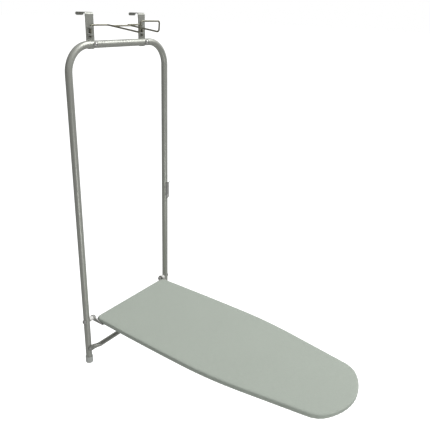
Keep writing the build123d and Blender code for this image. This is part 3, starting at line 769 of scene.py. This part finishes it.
def place_camera(lens):
    """Camera in front of the board's left side, looking down across it."""
    target = Vector((0.0339, -0.3625, -0.5658))
    azimuth, elevation, roll = math.radians(55.28), math.radians(22.41), math.radians(2.149)
    away = Vector((-math.sin(azimuth) * math.cos(elevation), -math.cos(azimuth) * math.cos(elevation),
                   math.sin(elevation)))
    right = (-away).cross(Vector((0, 0, 1))).normalized()
    up = right.cross(-away)
    turned = right * math.cos(roll) + up * math.sin(roll)
    raised = up * math.cos(roll) - right * math.sin(roll)
    data = bpy.data.cameras.new("Camera")
    data.lens, data.sensor_width = lens, 36.0
    camera = bpy.data.objects.new("Camera", data)
    bpy.context.scene.collection.objects.link(camera)
    turn = Matrix((turned, raised, away)).transposed()
    camera.matrix_world = Matrix.Translation(target + away * 1.5641) @ turn.to_4x4()
    bpy.context.scene.camera = camera


# ---------------------------------------------------------------- operators
class IRONBOARD_OT_tubes(bpy.types.Operator):
    """Silver-grey paint on the frame's hoop and the strut, and a darker copy on the crossbar as painted shade
    that tones down the light falling on it from above
    """
    bl_idname = "ironboard.tubes"
    bl_label = "Painted Tubes"

    def execute(self, context):
        look = context.scene.ironboard_metal
        dress(ROUND_TUBES, painted_steel("Tube Paint", look.tube_colour))
        # Darker copy of the tube paint on the crossbar: painted shade that tones down the light falling on it
        # from above.
        dress(("crossbar",), painted_steel("Crossbar Paint With Painted Shade", shade(look.tube_colour, 0.78)))
        return {"FINISHED"}


class IRONBOARD_OT_hooks(bpy.types.Operator):
    """The same paint on the strip steel of the door hooks, in a darker copy as painted shade that tones down
    the light the lamps throw on the straps
    """
    bl_idname = "ironboard.hooks"
    bl_label = "Door Hooks"

    def execute(self, context):
        look = context.scene.ironboard_metal
        # Darker copy of the tube paint on the hooks: painted shade that tones down the light the key throws
        # on the straps' fronts.
        dress(DOOR_HOOKS, painted_steel("Hook Paint With Painted Shade", shade(look.tube_colour, 0.85)))
        return {"FINISHED"}


class IRONBOARD_OT_rest(bpy.types.Operator):
    """Olive-grey paint on the iron rest's bent wires"""
    bl_idname = "ironboard.rest"
    bl_label = "Iron Rest"

    def execute(self, context):
        look = context.scene.ironboard_metal
        dress(REST_WIRES, painted_steel("Wire Paint", look.wire_colour))
        return {"FINISHED"}


class IRONBOARD_OT_board_metal(bpy.types.Operator):
    """Grey paint on the vented sheet, its rim and the cross rails"""
    bl_idname = "ironboard.board_metal"
    bl_label = "Board Metal"

    def execute(self, context):
        look = context.scene.ironboard_metal
        dress(BOARD_METAL, painted_steel("Sheet Paint", look.sheet_colour, 0.42))
        return {"FINISHED"}


class IRONBOARD_OT_fittings(bpy.types.Operator):
    """Bright zinc on the brackets, the catch, the bolts, the rivets and the pin"""
    bl_idname = "ironboard.fittings"
    bl_label = "Zinc Fittings"

    def execute(self, context):
        look = context.scene.ironboard_metal
        dress(ZINC_FITTINGS, zinc("Zinc Plate", look.zinc_colour))
        return {"FINISHED"}


class IRONBOARD_OT_plastic(bpy.types.Operator):
    """Light grey plastic of the leg caps and the strut's shoe, off-white spacers and washers"""
    bl_idname = "ironboard.plastic"
    bl_label = "Plastic Parts"

    def execute(self, context):
        look = context.scene.ironboard_metal
        dress(GREY_PLASTIC, moulded_plastic("Grey Plastic", look.plastic_colour))
        dress(PALE_PLASTIC, moulded_plastic("Pale Plastic", look.spacer_colour))
        return {"FINISHED"}


class IRONBOARD_OT_pad(bpy.types.Operator):
    """Felt pad that lies on the vented sheet, its edges pressed down by the cover"""
    bl_idname = "ironboard.pad"
    bl_label = "Felt Pad"

    def execute(self, context):
        cloth = context.scene.ironboard_cloth
        outline = board_outline(cloth.around // 2)
        top, low = PAD_HIGH.z - 0.15 * MM, PAD_LOW.z + 0.05 * MM
        edge, r = COVER_HIGH.x - PAD_HIGH.x + FELT_INSET, FELT_ROUND
        rings = [ring(outline, edge + r * (1 - math.sin(a)), top - r * (1 - math.cos(a)))
                 for a in (math.radians(15 * k) for k in range(7))]
        rings.append(ring(outline, edge + 0.4 * MM, low))
        upper, upper_faces = fill_disc(rings[0], 7 * MM, top)
        pad = sew("felt_pad", rings, upper_faces, upper)
        mesh = pad.data
        lower, lower_faces = fill_disc(rings[-1], 7 * MM, low)
        work = bmesh.new()
        work.from_mesh(mesh)
        work.verts.ensure_lookup_table()
        count = len(outline[0])
        base = (len(rings) - 1) * count
        corner = [work.verts[base + i] for i in range(count)] + [work.verts.new(p) for p in lower]
        for face in lower_faces:
            work.faces.new([corner[v] for v in face])
        bmesh.ops.recalc_face_normals(work, faces=work.faces)
        for vertex in work.verts:
            if vertex.co.z > top - 0.1 * MM:
                vertex.co.z -= 0.12 * MM * (1 + noise.noise(vertex.co * 60.0))
        work.to_mesh(mesh)
        work.free()
        mesh.polygons.foreach_set("use_smooth", [True] * len(mesh.polygons))
        mesh.materials.append(felt("Needle Felt", cloth.felt_colour))
        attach(pad, "board")
        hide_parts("pad")
        return {"FINISHED"}


class IRONBOARD_OT_stitches(bpy.types.Operator):
    """Row of thread stitches along the elastic casing of the cover's hem"""
    bl_idname = "ironboard.stitches"
    bl_label = "Hem Stitches"

    def execute(self, context):
        cloth = context.scene.ironboard_cloth
        rings = cover_rings(cloth, board_outline(cloth.around))
        mesh = bpy.data.meshes.new("hem_stitches")
        points, faces = stitch_row(rings[STITCH_RING])
        mesh.from_pydata(points, [], faces)
        mesh.polygons.foreach_set("use_smooth", [True] * len(mesh.polygons))
        mesh.materials.append(cotton("Sewing Thread", shade(cloth.cover_colour, 0.8), 0.3 * MM))
        stitches = bpy.data.objects.new("hem_stitches", mesh)
        context.scene.collection.objects.link(stitches)
        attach(stitches, "board")
        return {"FINISHED"}


class IRONBOARD_OT_cover(bpy.types.Operator):
    """Fitted cotton cover: over the pad, down the edge, and gathered in under the board"""
    bl_idname = "ironboard.cover"
    bl_label = "Cotton Cover"

    def execute(self, context):
        cloth = context.scene.ironboard_cloth
        outline = board_outline(cloth.around)
        rings = cover_rings(cloth, outline)
        top, faces = fill_disc(rings[0], 5 * MM, COVER_HIGH.z)
        cover = sew("cotton_cover", rings, faces, top)
        count, total = cloth.around, len(rings) * cloth.around
        ripple(cover, total, outline, cloth.wrinkle_depth)
        loose = list(range(SIDE_RING * count, FIRM_RING * count))
        firm = list(range(FIRM_RING * count, total))
        settle(cover, bpy.data.objects["felt_pad"], [(1.0, firm), (0.6, loose)])
        skin = cover.modifiers.new("Cloth Thickness", "SOLIDIFY")
        skin.thickness = cloth.cloth_thickness
        skin.offset = -1.0
        cover.data.materials.clear()
        cover.data.materials.append(cotton("Sage Cotton", cloth.cover_colour, cloth.thread_pitch))
        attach(cover, "board")
        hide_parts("cover")
        return {"FINISHED"}


class IRONBOARD_OT_stage(bpy.types.Operator):
    """Pale floor under the hanging board, soft lights and the camera"""
    bl_idname = "ironboard.stage"
    bl_label = "Studio"

    def execute(self, context):
        look = context.scene.ironboard_stage
        floor = plain_floor(look)
        lights = [
            soft_light("Key", (1.6, -1.5, 2.2), look.key_power, 2.0),
            soft_light("Fill", (-2.6, -1.2, 0.9), look.fill_power, 1.8),
            soft_light("Low Strip", (-0.9, -1.95, -1.35), look.strip_power, 0.7),
        ]
        pale_surround(look.sky)
        place_camera(look.lens)
        context.scene.view_settings.view_transform = "Standard"
        return {"FINISHED"}


class IRONBOARD_PT_panel(bpy.types.Panel):
    """Builds the looks of the ironing board, one group of pieces at a time"""
    bl_label = "Ironing Board"
    bl_idname = "IRONBOARD_PT_panel"
    bl_space_type = "VIEW_3D"
    bl_region_type = "UI"
    bl_category = "Ironing Board"

    def draw(self, context):
        layout = self.layout
        scene = context.scene
        for settings in (scene.ironboard_cloth, scene.ironboard_metal, scene.ironboard_stage):
            box = layout.box()
            for name in settings.bl_rna.properties.keys():
                if name not in ("rna_type", "name"):
                    box.prop(settings, name)
        for operator in OPERATORS:
            layout.operator(operator.bl_idname)


OPERATORS = (
    IRONBOARD_OT_tubes, IRONBOARD_OT_hooks, IRONBOARD_OT_rest, IRONBOARD_OT_board_metal,
    IRONBOARD_OT_fittings, IRONBOARD_OT_plastic, IRONBOARD_OT_pad, IRONBOARD_OT_stitches,
    IRONBOARD_OT_cover, IRONBOARD_OT_stage,
)
CLASSES = (ClothSettings, MetalSettings, StageSettings, *OPERATORS, IRONBOARD_PT_panel)


def register():
    """Register the classes and their settings on the scene."""
    for cls in CLASSES:
        bpy.utils.register_class(cls)
    bpy.types.Scene.ironboard_cloth = PointerProperty(type=ClothSettings)
    bpy.types.Scene.ironboard_metal = PointerProperty(type=MetalSettings)
    bpy.types.Scene.ironboard_stage = PointerProperty(type=StageSettings)


def unregister():
    """Remove the settings and the classes."""
    del bpy.types.Scene.ironboard_cloth
    del bpy.types.Scene.ironboard_metal
    del bpy.types.Scene.ironboard_stage
    for cls in reversed(CLASSES):
        bpy.utils.unregister_class(cls)


def main():
    """Build every group of pieces in order."""
    register()
    bpy.ops.ironboard.tubes()
    bpy.ops.ironboard.hooks()
    bpy.ops.ironboard.rest()
    bpy.ops.ironboard.board_metal()
    bpy.ops.ironboard.fittings()
    bpy.ops.ironboard.plastic()
    bpy.ops.ironboard.pad()
    bpy.ops.ironboard.stitches()
    bpy.ops.ironboard.cover()
    bpy.ops.ironboard.stage()


if __name__ == "__main__":
    main()
